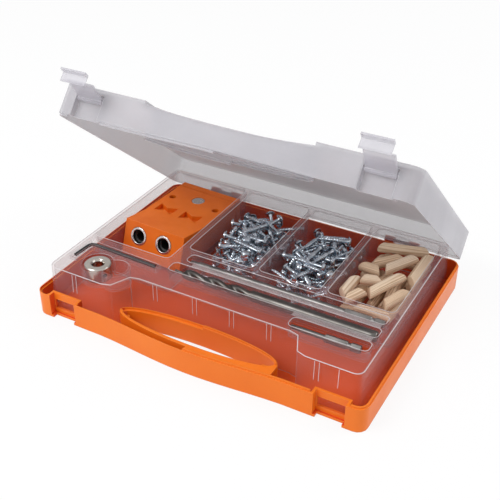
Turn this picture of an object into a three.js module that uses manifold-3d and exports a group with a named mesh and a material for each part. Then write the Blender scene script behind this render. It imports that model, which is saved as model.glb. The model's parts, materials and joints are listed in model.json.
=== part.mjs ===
// Pocket-hole jig kit in a carry case: orange base, clear hinged lid with two snap latches, clear
// compartment tray, and the jig, stop collar, hex key, drill, driver bits, screws and plugs in it.
// Millimetres, +Z up, X to the right of the case, Y to its hinge side. The origin is on the table,
// under the middle of the base.
import * as THREE from 'three';
import { mergeVertices } from 'three/addons/utils/BufferGeometryUtils.js';
import Module from 'manifold-3d';

const wasm = await Module();
wasm.setup();

// ---- driving dimensions ----
const CASE_WIDTH = 310;
const CASE_DEPTH = 224;
const CORNER_RADIUS = 9;
const WALL = 2.2;
const CLOSED_HEIGHT = 48.5;
const PARTING_HEIGHT = 22.5;
const LIP_HEIGHT = 1.8;
const LIP_GAP = 0.45;

const HANDLE_BULGE = 6;
const HANDLE_HALF_LENGTH = 100;
const GRIP_HALF_LENGTH = 75;
const GRIP_HALF_DEPTH = 15;
const GRIP_CENTRE = new THREE.Vector2(0, -96.8);
const GRIP_WALL = 3;
const GRIP_CHAMFER = 2.4;
const GRIP_DROP_END = 2.5;
const GRIP_DROP_MIDDLE = 7.5;

const HINGE_Y = 115.6;
const HINGE_Z = 24.5;
const HINGE_X = 96;
const HINGE_BARREL_RADIUS = 3.1;
const HINGE_PIN_RADIUS = 1.4;
const HINGE_PIN_LENGTH = 34;
const LID_OPEN = 40.5;

const LATCH_X = 126;
const LATCH_WIDTH = 24;
const LATCH_PIVOT_Y = -109.6;
const LATCH_PIVOT_Z = 38.8;
const LATCH_OPEN = { left: 109, right: 116 };
const RECESS_DEPTH = 6.2;
const RECESS_TOP = 43.5;
const CATCH_LOW = 6.4;
const CATCH_HIGH = 15.6;

const TRAY_TOP = 45.5;
const TRAY_BOTTOM = 2.7;
const TRAY_SHEET = 1.3;
const TRAY_HALF_WIDTH = 147;
const TRAY_REAR = 103;
const TRAY_FRONT = -102.6;
const TRAY_MIDDLE_FRONT = -79.6;
const TRAY_DRAFT = 1.5;
const POCKET_FLOOR = 9;
const BIT_TRENCH_FLOOR = 35.6;

const JIG_WIDTH = 67;
const JIG_LENGTH = 104;
const JIG_FRONT_HEIGHT = 32;
const JIG_REAR_HEIGHT = 27.5;
const JIG_RAMP_END = 40;
const JIG_FACE_TILT = 18;
const JIG_TURN = -3;
const JIG_PLACE = new THREE.Vector3(-105.1, -10.2, POCKET_FLOOR + 0.4);
const JIG_SEAM = 97;
const SEAM_GAP = 0.8;
const BUSH_X = [-17, 11.7];
const BUSH_HEIGHT = 19.2;
const BUSH_LENGTH = 24;
const BORE_RADIUS = 4.9;
const MOUTH_RADIUS = 7;
const MOUTH_DEPTH = 4;
const SHELL_RADIUS = 7.9;
const FLANGE_RADIUS = 8.8;

const COLLAR_PLACE = new THREE.Vector3(-112, -76, 30.5);
const COLLAR_RADIUS = 11.8;
const COLLAR_HEIGHT = 14;

const PLUG_RADIUS = 4.75;

// ---- colours ----
const ORANGE = { color: 0xf27a26, roughness: 0.42, metalness: 0 };
const CLEAR_LID = { color: 0xc8c6cc, roughness: 0.35, metalness: 0, transparent: true, opacity: 0.55 };
const CLEAR_TRAY = { color: 0xd6cfd4, roughness: 0.15, metalness: 0, transparent: true, opacity: 0.35 };
const STEEL = { color: 0xc4c6c9, roughness: 0.25, metalness: 1 };
const TOOL_STEEL = { color: 0x8c8b8d, roughness: 0.4, metalness: 1 };
const BLACK_STEEL = { color: 0x161616, roughness: 0.45, metalness: 0.6 };
const ZINC = { color: 0xaeb9c0, roughness: 0.3, metalness: 1 };
const WOOD = { color: 0xdcb98c, roughness: 0.75, metalness: 0 };

const radians = THREE.MathUtils.degToRad;
const point = (x, y) => new THREE.Vector2(x, y);
const spot = (x, y, z) => new THREE.Vector3(x, y, z);

// ---- solids ----

// A Manifold solid from a closed three.js geometry.
function solid(geometry) {
  const bare = geometry.clone();
  bare.deleteAttribute('normal');
  bare.deleteAttribute('uv');
  const merged = mergeVertices(bare, 1e-4);
  const mesh = new wasm.Mesh({
    numProp: 3,
    vertProperties: new Float32Array(merged.attributes.position.array),
    triVerts: new Uint32Array(merged.index.array),
  });
  return new wasm.Manifold(mesh);
}

// The three.js geometry of a Manifold solid.
function geometryOf(body) {
  const mesh = body.getMesh();
  const geometry = new THREE.BufferGeometry();
  geometry.setAttribute('position', new THREE.BufferAttribute(new Float32Array(mesh.vertProperties), 3));
  geometry.setIndex(new THREE.BufferAttribute(new Uint32Array(mesh.triVerts), 1));
  geometry.computeVertexNormals();
  return geometry;
}

const joined = (bodies) => bodies.reduce((all, body) => all.add(body));
const cutBy = (body, tools) => tools.reduce((rest, tool) => rest.subtract(tool), body);

// Upright prism over an outline, between two heights.
function prism(outline, low, high) {
  const geometry = new THREE.ExtrudeGeometry(new THREE.Shape(outline), {
    depth: high - low, bevelEnabled: false,
  });
  return solid(geometry.translate(0, 0, low));
}

// Prism along X over an outline in the (y, z) plane.
function sidePrism(outline, left, right) {
  const geometry = new THREE.ExtrudeGeometry(new THREE.Shape(outline), {
    depth: right - left, bevelEnabled: false,
  });
  geometry.rotateY(Math.PI / 2).rotateX(Math.PI / 2);
  return solid(geometry.translate(left, 0, 0));
}

// Tapered solid between two outlines with the same number of points.
function loft(lower, upper, low, high) {
  const count = lower.length;
  const position = [
    ...lower.flatMap((p) => [p.x, p.y, low]),
    ...upper.flatMap((p) => [p.x, p.y, high]),
  ];
  const index = [];
  for (let i = 0; i < count; i += 1) {
    const next = (i + 1) % count;
    index.push(i, next, count + next, i, count + next, count + i);
  }
  for (const [a, b, c] of THREE.ShapeUtils.triangulateShape(lower, [])) index.push(a, c, b);
  for (const [a, b, c] of THREE.ShapeUtils.triangulateShape(upper, [])) {
    index.push(count + a, count + b, count + c);
  }
  const geometry = new THREE.BufferGeometry();
  geometry.setAttribute('position', new THREE.Float32BufferAttribute(position, 3));
  geometry.setIndex(index);
  return solid(geometry);
}

function block(x0, x1, y0, y1, z0, z1) {
  const geometry = new THREE.BoxGeometry(x1 - x0, y1 - y0, z1 - z0);
  return solid(geometry.translate((x0 + x1) / 2, (y0 + y1) / 2, (z0 + z1) / 2));
}

// Round or many-sided rod from one point to another; the second radius is at the far end.
function rodGeometry(from, to, radius, farRadius = radius, sides = 16) {
  const along = to.clone().sub(from);
  const geometry = new THREE.CylinderGeometry(farRadius, radius, along.length(), sides);
  const turn = new THREE.Quaternion().setFromUnitVectors(spot(0, 1, 0), along.clone().normalize());
  geometry.applyQuaternion(turn);
  const middle = from.clone().add(to).multiplyScalar(0.5);
  return geometry.translate(middle.x, middle.y, middle.z);
}

const rod = (...measures) => solid(rodGeometry(...measures));

// Turned piece: pairs of (radius, distance) along a line from a point in a direction.
function turned(profile, from, direction, sides = 20) {
  const geometry = new THREE.LatheGeometry(profile.map(([r, s]) => point(r, s)), sides);
  geometry.applyQuaternion(new THREE.Quaternion().setFromUnitVectors(spot(0, 1, 0), direction));
  return geometry.translate(from.x, from.y, from.z);
}

// ---- outlines, all counter-clockwise ----

function arc(cx, cy, radius, from, to, steps = 4) {
  return Array.from({ length: steps + 1 }, (_, i) => {
    const angle = from + ((to - from) * i) / steps;
    return point(cx + radius * Math.cos(angle), cy + radius * Math.sin(angle));
  });
}

function roundedBox(x0, x1, y0, y1, radius, steps = 4) {
  const quarter = Math.PI / 2;
  return [
    ...arc(x1 - radius, y1 - radius, radius, 0, quarter, steps),
    ...arc(x0 + radius, y1 - radius, radius, quarter, 2 * quarter, steps),
    ...arc(x0 + radius, y0 + radius, radius, 2 * quarter, 3 * quarter, steps),
    ...arc(x1 - radius, y0 + radius, radius, 3 * quarter, 4 * quarter, steps),
  ];
}

// The case in plan, moved inwards by an inset: a rounded box whose front swells at the handle.
function caseOutline(inset) {
  const halfX = CASE_WIDTH / 2 - inset;
  const halfY = CASE_DEPTH / 2 - inset;
  const radius = CORNER_RADIUS - inset;
  const quarter = Math.PI / 2;
  const front = [];
  for (let i = 1; i < 14; i += 1) {
    const x = HANDLE_HALF_LENGTH * (i / 7 - 1);
    const swell = Math.cos((quarter * x) / HANDLE_HALF_LENGTH) ** 2;
    front.push(point(x, -halfY - HANDLE_BULGE * swell));
  }
  return [
    ...arc(halfX - radius, halfY - radius, radius, 0, quarter),
    ...arc(radius - halfX, halfY - radius, radius, quarter, 2 * quarter),
    ...arc(radius - halfX, radius - halfY, radius, 2 * quarter, 3 * quarter),
    ...front,
    ...arc(halfX - radius, radius - halfY, radius, 3 * quarter, 4 * quarter),
  ];
}

// The grip hole in plan, moved outwards: an ellipse.
function gripOutline(outset) {
  return Array.from({ length: 28 }, (_, i) => {
    const angle = (i * Math.PI) / 14;
    return point(
      GRIP_CENTRE.x + (GRIP_HALF_LENGTH - GRIP_WALL + outset) * Math.cos(angle),
      GRIP_CENTRE.y + (GRIP_HALF_DEPTH - GRIP_WALL + outset) * Math.sin(angle),
    );
  });
}

// ---- case halves ----

// The wedge that a latch recess takes out of the front, grown by the wall for the inner side.
function latchRecess(x, grow, low, high) {
  const back = -CASE_DEPTH / 2 + RECESS_DEPTH + grow;
  const half = LATCH_WIDTH / 2 + 1.2 + grow;
  return block(x - half, x + half, -CASE_DEPTH, back, low, high);
}

// Half of a ring that follows the case wall and the grip wall; side is -1 left, +1 right.
function lipRing(side, outer, inner, low, high) {
  const wallRing = prism(caseOutline(outer), low, high).subtract(
    prism(caseOutline(inner), low - 1, high + 1),
  );
  const gripRing = prism(gripOutline(GRIP_WALL - outer), low, high).subtract(
    prism(gripOutline(GRIP_WALL - inner), low - 1, high + 1),
  );
  const gripRear = block(-CASE_WIDTH, CASE_WIDTH, GRIP_CENTRE.y, CASE_DEPTH, low, high);
  const near = GRIP_CENTRE.x + side * LIP_GAP;
  const far = side * CASE_WIDTH;
  const half = block(Math.min(near, far), Math.max(near, far), -CASE_DEPTH, CASE_DEPTH, low, high);
  const latchGaps = [-1, 1].map((end) => latchRecess(end * LATCH_X, WALL + 1, low, high));
  return cutBy(wallRing, latchGaps).add(gripRing.intersect(gripRear)).intersect(half);
}

// A hinge barrel with its arm back to the wall; the arm leans to the piece it belongs to.
function hingeBarrel(x, width, armLow, armHigh) {
  const wallY = CASE_DEPTH / 2 - 1;
  const barrel = rod(
    spot(x - width / 2, HINGE_Y, HINGE_Z), spot(x + width / 2, HINGE_Y, HINGE_Z), HINGE_BARREL_RADIUS,
  );
  const arm = block(x - width / 2, x + width / 2, wallY, HINGE_Y, armLow, armHigh);
  return barrel.add(arm);
}

const hingeBore = (x) => rod(
  spot(x - HINGE_PIN_LENGTH, HINGE_Y, HINGE_Z), spot(x + HINGE_PIN_LENGTH, HINGE_Y, HINGE_Z),
  HINGE_PIN_RADIUS + 0.3,
);

function caseBase() {
  const outside = cutBy(
    prism(caseOutline(0), 0, PARTING_HEIGHT),
    [-1, 1].map((end) => latchRecess(end * LATCH_X, 0, 2.4, PARTING_HEIGHT + 1)
      .add(latchRecess(end * LATCH_X, -2, -1, 4))),
  );
  const barTop = block(GRIP_CENTRE.x, GRIP_CENTRE.x + GRIP_HALF_LENGTH, -CASE_DEPTH, GRIP_CENTRE.y,
    PARTING_HEIGHT - WALL, PARTING_HEIGHT);
  const inside = cutBy(prism(caseOutline(WALL), WALL, PARTING_HEIGHT + 1), [
    barTop,
    prism(gripOutline(GRIP_WALL), 0, PARTING_HEIGHT + 2),
    ...[-1, 1].map((end) => latchRecess(end * LATCH_X, WALL, 0, PARTING_HEIGHT + 2)),
  ]);
  const barrels = [-1, 1].flatMap((end) => [-12, 12].map(
    (shift) => hingeBarrel(end * HINGE_X + shift, 9, PARTING_HEIGHT - 4, PARTING_HEIGHT),
  ));
  const body = cutBy(outside, [
    inside,
    prism(gripOutline(0), -1, PARTING_HEIGHT + 1),
    loft(gripOutline(GRIP_CHAMFER), gripOutline(0), -0.01, GRIP_CHAMFER),
    lipRing(-1, WALL / 2 - LIP_GAP, WALL + 1, PARTING_HEIGHT - LIP_HEIGHT - LIP_GAP, PARTING_HEIGHT + 1),
    ...[-1, 1].map((end) => latchCatch(end * LATCH_X)),
  ]);
  const lip = lipRing(1, WALL / 2, WALL, PARTING_HEIGHT - 1, PARTING_HEIGHT + LIP_HEIGHT);
  return cutBy(joined([body, lip, ...barrels]), [-1, 1].map((end) => hingeBore(end * HINGE_X)));
}

// The window low in the base's recess that a latch's hook goes through.
function latchCatch(x) {
  const half = LATCH_WIDTH / 2 + 0.6;
  const panel = -CASE_DEPTH / 2 + RECESS_DEPTH;
  return block(x - half, x + half, panel - 1, panel + WALL + 1, CATCH_LOW, CATCH_HIGH);
}

// What the sunken grip takes off the lid's panel: an arched trough in front of the grip's rear wall.
function gripTrough(grow) {
  const half = GRIP_HALF_LENGTH + grow;
  const centre = GRIP_CENTRE.x;
  const plan = prism(gripOutline(grow), 0, CLOSED_HEIGHT + 9).add(
    block(centre - half + 1, centre + half - 1, -CASE_DEPTH, GRIP_CENTRE.y, 0, CLOSED_HEIGHT + 9),
  );
  const arch = [point(centre + half + 2, CLOSED_HEIGHT + 9), point(centre - half - 2, CLOSED_HEIGHT + 9)];
  for (let i = 0; i <= 12; i += 1) {
    const along = i / 6 - 1;
    const drop = GRIP_DROP_END + (GRIP_DROP_MIDDLE - GRIP_DROP_END) * (1 - along ** 2);
    arch.push(point(centre + along * (half + 2), CLOSED_HEIGHT - drop - grow));
  }
  const geometry = new THREE.ExtrudeGeometry(new THREE.Shape(arch), {
    depth: 2 * CASE_DEPTH, bevelEnabled: false,
  });
  geometry.rotateX(Math.PI / 2).translate(0, CASE_DEPTH, 0);
  return plan.intersect(solid(geometry));
}

function lidShell() {
  const outside = cutBy(prism(caseOutline(0), PARTING_HEIGHT + 0.2, CLOSED_HEIGHT), [
    gripTrough(0),
    ...[-1, 1].map((end) => latchRecess(end * LATCH_X, 0, 0, RECESS_TOP)),
  ]);
  const inside = cutBy(prism(caseOutline(WALL), 0, CLOSED_HEIGHT - WALL), [
    gripTrough(WALL),
    prism(gripOutline(GRIP_WALL), 0, CLOSED_HEIGHT),
    ...[-1, 1].map((end) => latchRecess(end * LATCH_X, WALL, 0, RECESS_TOP + WALL)),
  ]);
  const body = cutBy(outside, [
    inside,
    prism(gripOutline(0), 0, CLOSED_HEIGHT + 1),
    lipRing(1, WALL / 2 - LIP_GAP, WALL + 1, PARTING_HEIGHT, PARTING_HEIGHT + LIP_HEIGHT + LIP_GAP),
  ]);
  const lip = lipRing(-1, WALL / 2, WALL, PARTING_HEIGHT - LIP_HEIGHT, PARTING_HEIGHT + 1);
  const barrels = [-1, 1].map(
    (end) => hingeBarrel(end * HINGE_X, 14, HINGE_Z, PARTING_HEIGHT + 6),
  );
  const bores = [-1, 1].flatMap((end) => [hingeBore(end * HINGE_X), latchBore(end * LATCH_X)]);
  return cutBy(joined([body, lip, ...barrels]), bores);
}

const latchBore = (x) => rod(
  spot(x - LATCH_WIDTH / 2 - 3, LATCH_PIVOT_Y, LATCH_PIVOT_Z),
  spot(x + LATCH_WIDTH / 2 + 3, LATCH_PIVOT_Y, LATCH_PIVOT_Z), 1.4, 1.4, 12,
);

// ---- latch, about its own pivot: down the case front, hooked inwards, flared for a finger ----
function latch() {
  const sheet = 1.7;
  const bends = [[-0.4, 0], [-0.6, -21], [6, -29], [-1.2, -31.5], [-0.6, -36.2]];
  const outer = bends.map(([y, z]) => point(y - sheet / 2, z));
  const inner = bends.map(([y, z]) => point(y + sheet / 2, z)).reverse();
  const half = LATCH_WIDTH / 2;
  const strip = sidePrism([...outer, ...inner], -half, half);
  const barrel = rod(spot(-half, 0, 0), spot(half, 0, 0), 2.2, 2.2, 16);
  const pins = rod(spot(-half - 1.8, 0, 0), spot(half + 1.8, 0, 0), 1.1, 1.1, 12);
  return joined([strip, barrel, pins]);
}

// ---- tray ----

// The tray in plan: a rounded box whose front steps back between two slanted shoulders.
function trayOutline(inset) {
  const halfX = TRAY_HALF_WIDTH - inset;
  const front = TRAY_FRONT + inset;
  const middle = TRAY_MIDDLE_FRONT + inset / 4;
  const radius = 6.5;
  const quarter = Math.PI / 2;
  return [
    ...arc(halfX - radius, TRAY_REAR - inset - radius, radius, 0, quarter),
    ...arc(radius - halfX, TRAY_REAR - inset - radius, radius, quarter, 2 * quarter),
    ...arc(radius - halfX, front + radius, radius, 2 * quarter, 3 * quarter),
    point(-90, front), point(-82, front + 2.5), point(-74, middle - 2), point(-66, middle),
    point(76, middle), point(84, middle - 2), point(92, front + 2.5), point(100, front),
    ...arc(halfX - radius, front + radius, radius, 3 * quarter, 4 * quarter),
  ];
}

const POCKETS = [
  { x: [-142, -61.5], y: [-42, 99], floor: POCKET_FLOOR },
  { x: [-55.5, 9], y: [-19, 96.5], floor: POCKET_FLOOR },
  { x: [14.5, 73], y: [-19, 96.5], floor: POCKET_FLOOR },
  { x: [79, 139], y: [-19, 96.5], floor: POCKET_FLOOR },
];
const TRENCHES = [
  { x: [-47, 138], y: [-37, -25], floor: BIT_TRENCH_FLOOR },
  { x: [-54, 138.5], y: [-55.5, -42.5], floor: BIT_TRENCH_FLOOR },
  { x: [70.5, 138.5], y: [-74, -61.5], floor: BIT_TRENCH_FLOOR },
];

// A pocket's room, grown by the sheet for its outside.
function pocketRoom({ x, y, floor }, grow, draft, radius) {
  const grown = (inset) => roundedBox(
    x[0] + inset - grow, x[1] - inset + grow, y[0] + inset - grow, y[1] - inset + grow,
    radius + grow - inset / 2, 3,
  );
  return loft(grown(draft), grown(0), floor - grow, TRAY_TOP + (grow > 0 ? -0.2 : 0.01));
}

// The round room for the stop collar, with a lobe for a fingertip.
function collarRoom(grow) {
  const floor = COLLAR_PLACE.z - 0.6 - grow;
  const top = TRAY_TOP + (grow > 0 ? -0.2 : 0.01);
  const around = (x, y, radius) => prism(arc(x, y, radius + grow, 0, 1.9 * Math.PI, 19), floor, top);
  return around(COLLAR_PLACE.x, COLLAR_PLACE.y, 13.6).add(around(COLLAR_PLACE.x + 18, COLLAR_PLACE.y + 1, 11.5));
}

// The groove for the hex key follows its two legs.
function keyRoom(grow) {
  const leg = ([x0, y0], [x1, y1]) => {
    const along = point(x1 - x0, y1 - y0).normalize();
    const side = point(-along.y, along.x).multiplyScalar(2.3 + grow);
    const end = along.multiplyScalar(2.3 + grow);
    const outline = [
      point(x0 - end.x - side.x, y0 - end.y - side.y), point(x1 + end.x - side.x, y1 + end.y - side.y),
      point(x1 + end.x + side.x, y1 + end.y + side.y), point(x0 - end.x + side.x, y0 - end.y + side.y),
    ];
    return prism(outline, KEY_HEIGHT - 2.2 - grow, TRAY_TOP + (grow > 0 ? -0.2 : 0.01));
  };
  return leg(KEY_ROUTE[0], KEY_ROUTE[1]).add(leg(KEY_ROUTE[1], KEY_ROUTE[2]));
}

function tray() {
  const outside = loft(trayOutline(0), trayOutline(TRAY_DRAFT), TRAY_BOTTOM, TRAY_TOP);
  const under = loft(
    trayOutline(TRAY_SHEET), trayOutline(TRAY_DRAFT + TRAY_SHEET), TRAY_BOTTOM - 1, TRAY_TOP - TRAY_SHEET,
  );
  const rooms = (grow) => [
    ...POCKETS.map((pocket) => pocketRoom(pocket, grow, 2.4, 5)),
    ...TRENCHES.map((trench) => pocketRoom(trench, grow, 1, 4)),
    collarRoom(grow),
    keyRoom(grow),
  ];
  const hollow = cutBy(under, rooms(TRAY_SHEET));
  return cutBy(outside, [hollow, ...rooms(0)]);
}

// ---- jig, in its own frame: origin at the front edge of its underside ----

const JIG_FACE_LEAN = Math.tan(radians(JIG_FACE_TILT));
const BORE_DIRECTION = spot(0, Math.cos(radians(JIG_FACE_TILT)), -Math.sin(radians(JIG_FACE_TILT)));
const bushCentre = (x) => spot(x, BUSH_HEIGHT * JIG_FACE_LEAN, BUSH_HEIGHT);
const along = (from, distance) => from.clone().addScaledVector(BORE_DIRECTION, distance);

function jigBody() {
  const side = [
    point(0, 0), point(JIG_SEAM - SEAM_GAP, 0), point(JIG_SEAM - SEAM_GAP, JIG_REAR_HEIGHT),
    point(JIG_RAMP_END, JIG_REAR_HEIGHT), point(JIG_FRONT_HEIGHT * JIG_FACE_LEAN, JIG_FRONT_HEIGHT),
  ];
  const half = JIG_WIDTH / 2;
  const bores = BUSH_X.flatMap((x) => {
    const centre = bushCentre(x);
    return [
      rod(along(centre, -3), along(centre, BUSH_LENGTH), SHELL_RADIUS + 0.4, SHELL_RADIUS + 0.4, 24),
      rod(along(centre, 10), along(centre, 78), BORE_RADIUS, BORE_RADIUS, 20),
      rod(along(centre, -3), along(centre, 1.4), FLANGE_RADIUS + 0.4, FLANGE_RADIUS + 0.4, 24),
    ];
  });
  // Each chip window is a bow tie: two wide ends and a narrow waist.
  const notches = BUSH_X.map((x) => prism(
    [[-10, -7], [0, -2.2], [10, -7], [10, 7], [0, 2.2], [-10, 7]].map(([a, b]) => point(x + a, NOTCH_Y + b)),
    JIG_REAR_HEIGHT - 5, JIG_FRONT_HEIGHT,
  ));
  const screwHoles = SCREW_X.map((x) => rod(spot(x, SCREW_Y, JIG_REAR_HEIGHT - 8), spot(x, SCREW_Y, 40), 3.6));
  const magnetSeat = rod(spot(0, MAGNET_Y, JIG_REAR_HEIGHT - 5.3), spot(0, MAGNET_Y, 40), 6.8, 6.8, 24);
  return cutBy(sidePrism(side, -half, half), [...bores, ...notches, ...screwHoles, magnetSeat]);
}

const SCREW_X = [-26, 25];
const SCREW_Y = 73;
const MAGNET_Y = 80;
const NOTCH_Y = 50;

function jigEndPlate() {
  const half = JIG_WIDTH / 2;
  return block(-half, half, JIG_SEAM, JIG_LENGTH, 0, JIG_REAR_HEIGHT);
}

// A drill bush: flanged steel tube with a chamfered mouth.
function guideBush(x) {
  const profile = [
    [BORE_RADIUS, MOUTH_DEPTH], [MOUTH_RADIUS, MOUTH_DEPTH - 1], [MOUTH_RADIUS, -0.6], [FLANGE_RADIUS, -0.6],
    [FLANGE_RADIUS, 1], [SHELL_RADIUS, 1], [SHELL_RADIUS, BUSH_LENGTH - 0.5], [BORE_RADIUS, BUSH_LENGTH - 0.5],
    [BORE_RADIUS, MOUTH_DEPTH],
  ];
  return turned(profile, bushCentre(x), BORE_DIRECTION, 24);
}

const jigMagnet = () => rodGeometry(
  spot(0, MAGNET_Y, JIG_REAR_HEIGHT - 5), spot(0, MAGNET_Y, JIG_REAR_HEIGHT - 0.2), 6.5, 6.5, 24,
);

function jigScrew(x) {
  const head = JIG_REAR_HEIGHT - 7.7;
  const body = rod(spot(x, SCREW_Y, head), spot(x, SCREW_Y, head + 2.6), 3.2);
  return body.subtract(rod(spot(x, SCREW_Y, head + 1.2), spot(x, SCREW_Y, head + 4), 1.6, 1.6, 6));
}

// ---- loose tools ----

function stopCollar() {
  const bore = 4.95;
  const top = COLLAR_HEIGHT;
  const profile = [
    [bore, 1], [6.2, 0], [COLLAR_RADIUS - 0.6, 0], [COLLAR_RADIUS, 0.6], [COLLAR_RADIUS, top - 0.8],
    [COLLAR_RADIUS - 0.8, top], [6.3, top], [bore, top - 1.6], [bore, 1],
  ];
  const ring = solid(turned(profile, COLLAR_PLACE, spot(0, 0, 1), 32));
  const [inner, outer] = [4, 13].map((distance) => collarScrewSpot(distance));
  return ring.subtract(rod(inner, outer, 2.3, 2.3, 14));
}

const COLLAR_SCREW_DIRECTION = spot(0.9, -0.44, 0).normalize();
const collarScrewSpot = (distance) => COLLAR_PLACE.clone()
  .add(spot(0, 0, COLLAR_HEIGHT / 2)).addScaledVector(COLLAR_SCREW_DIRECTION, distance);

function collarGrubScrew() {
  const body = rod(collarScrewSpot(5.4), collarScrewSpot(10.6), 2, 2, 14);
  return body.subtract(rod(collarScrewSpot(8.6), collarScrewSpot(11), 1, 1, 6));
}

const KEY_HEIGHT = 43.6;
const KEY_RADIUS = 1.7;
const KEY_ROUTE = [[-138, -74.3], [-136.8, -52.5], [-66.5, -55.4]];

// The key is a six-sided bar swept round its bend.
function hexKey() {
  const [start, corner, end] = KEY_ROUTE.map(([x, y]) => spot(x, y, KEY_HEIGHT));
  const bend = 5;
  const before = corner.clone().lerp(start, bend / corner.distanceTo(start));
  const after = corner.clone().lerp(end, bend / corner.distanceTo(end));
  const route = new THREE.CurvePath();
  route.add(new THREE.LineCurve3(start, before));
  route.add(new THREE.QuadraticBezierCurve3(before, corner, after));
  route.add(new THREE.LineCurve3(after, end));
  const section = new THREE.Shape(
    Array.from({ length: 6 }, (_, i) => point(
      KEY_RADIUS * Math.cos((i * Math.PI) / 3), KEY_RADIUS * Math.sin((i * Math.PI) / 3),
    )),
  );
  return new THREE.ExtrudeGeometry(section, { steps: 26, extrudePath: route });
}

const DRILL = { y: -48.6, z: 41, left: -51, right: 136.4 };
const LONG_BIT = { y: -30.8, z: 41, left: -45, right: 135.6 };
const SHORT_BIT = { y: -68.4, z: 40.6, left: 71.5, right: 131.4 };

// Stepped drill: pilot point, full-width fluted body and plain shank.
function steppedDrill() {
  const reach = DRILL.right - DRILL.left;
  const profile = [
    [0, 0], [1.75, 1.2], [1.75, 9], [4.7, 11], [4.7, reach - 1], [3.9, reach], [0, reach],
  ];
  return turned(profile, spot(DRILL.left, DRILL.y, DRILL.z), spot(1, 0, 0), 20);
}

// A driver bit: tip, round shaft, and a six-sided shank with a groove for the chuck's balls.
function driverBit({ y, z, left, right }, shaftRadius, shankLength) {
  const place = (x) => spot(x, y, z);
  const shank = right - shankLength;
  const groove = right - 10;
  return joined([
    rod(place(left), place(left + 5), 1.6, shaftRadius, 12),
    rod(place(left + 4.9), place(shank + 1), shaftRadius, shaftRadius, 16),
    rod(place(shank), place(groove - 1.5), 3.6, 3.6, 6),
    rod(place(groove - 2), place(groove + 2), 2.6, 2.6, 12),
    rod(place(groove + 1.5), place(right), 3.6, 3.6, 6),
  ]);
}

// ---- screws ----

// One pan-head screw standing on its tip, along a direction, as a few plain solids.
function screwSolid(tip, direction) {
  const place = (distance) => tip.clone().addScaledVector(direction, distance);
  return joined([
    rod(place(0), place(5), 0.5, 1.7, 6),
    rod(place(4.9), place(28), 1.7, 1.7, 6),
    rod(place(27.8), place(30), 5, 3.6, 8),
  ]);
}

// The heap of screws in a pocket: screws lying at all angles over a low mound, so the heap is one solid.
function screwHeap(x, y, lean) {
  const floor = POCKET_FLOOR + 0.5;
  const mound = solid(new THREE.SphereGeometry(1, 12, 8).scale(24, 44, 21).translate(x, y, floor + 3));
  const ground = block(x - 40, x + 40, y - 70, y + 70, floor, 60);
  const screws = Array.from({ length: 10 }, (_, i) => {
    const angle = i * 2.4 + lean;
    const away = 3.2 + i;
    const middle = spot(x + 0.7 * away * Math.cos(angle), y + 2.2 * away * Math.sin(angle), floor + 22 - 0.55 * i);
    const heading = i * 1.9 + lean;
    const way = spot(Math.cos(heading), Math.sin(heading), 0.3 * Math.sin(i * 2.3)).normalize();
    return screwSolid(middle.addScaledVector(way, -15), way);
  });
  return joined([mound, ...screws]).intersect(ground);
}

// ---- plugs: [x, y, height, heading, tilt, length] of each one's middle ----
const PLUGS = [
  [108, 85, 37, 16, 0, 47], [100, 66, 33, 40, 8, 30], [114, 57.5, 39.2, 62, 0, 38],
  [131.5, 61, 37, 89, 0, 48], [93.5, 45, 35.5, -10, 5, 22], [99.5, 28, 36, 24, -6, 19],
  [114.5, 23, 38.5, 68, 0, 44], [127.5, 12, 35.5, 70, 0, 32], [86, 12, 34, 88, 0, 32],
  [97, 1, 36, 35, 30, 20], [117, -9, 31, 4, 0, 34],
];

// A wood plug: a round bar with both ends cut on a slant.
function woodPlug([x, y, z, heading, tilt, length]) {
  const geometry = new THREE.CylinderGeometry(PLUG_RADIUS, PLUG_RADIUS, length, 14);
  const place = geometry.attributes.position;
  for (let i = 0; i < place.count; i += 1) {
    const shear = place.getY(i) > 0 ? -1 : 1;
    place.setY(i, place.getY(i) + shear * (place.getX(i) + PLUG_RADIUS) * 0.8);
  }
  geometry.rotateZ(Math.PI / 2).rotateY(radians(-tilt)).rotateZ(radians(heading));
  return geometry.translate(x, y, z);
}

// ---- assembly ----

function node(name, shape, finish) {
  const geometry = shape.isBufferGeometry ? shape : geometryOf(shape);
  const mesh = new THREE.Mesh(geometry, new THREE.MeshStandardMaterial(finish));
  mesh.name = name;
  return mesh;
}

const group = new THREE.Group();
group.add(node('case_base', caseBase(), ORANGE));
group.add(node('insert_tray', tray(), CLEAR_TRAY));

for (const [side, x] of [['left', -HINGE_X], ['right', HINGE_X]]) {
  const half = HINGE_PIN_LENGTH / 2;
  const pin = rodGeometry(spot(x - half, HINGE_Y, HINGE_Z), spot(x + half, HINGE_Y, HINGE_Z), HINGE_PIN_RADIUS);
  group.add(node(`hinge_pin_${side}`, pin, STEEL));
}

// The lid and its latches turn together about the hinge; everything in them is drawn closed.
const lidHinge = new THREE.Group();
lidHinge.position.set(0, HINGE_Y, HINGE_Z);
lidHinge.rotation.x = radians(-LID_OPEN);
const lidFrame = new THREE.Group();
lidFrame.position.set(0, -HINGE_Y, -HINGE_Z);
lidFrame.add(node('lid', lidShell(), CLEAR_LID));
for (const [side, x] of [['left', -LATCH_X], ['right', LATCH_X]]) {
  const mesh = node(`latch_${side}`, latch(), CLEAR_LID);
  mesh.position.set(x, LATCH_PIVOT_Y, LATCH_PIVOT_Z);
  mesh.rotation.x = radians(-LATCH_OPEN[side]);
  lidFrame.add(mesh);
}
lidHinge.add(lidFrame);
group.add(lidHinge);

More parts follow.
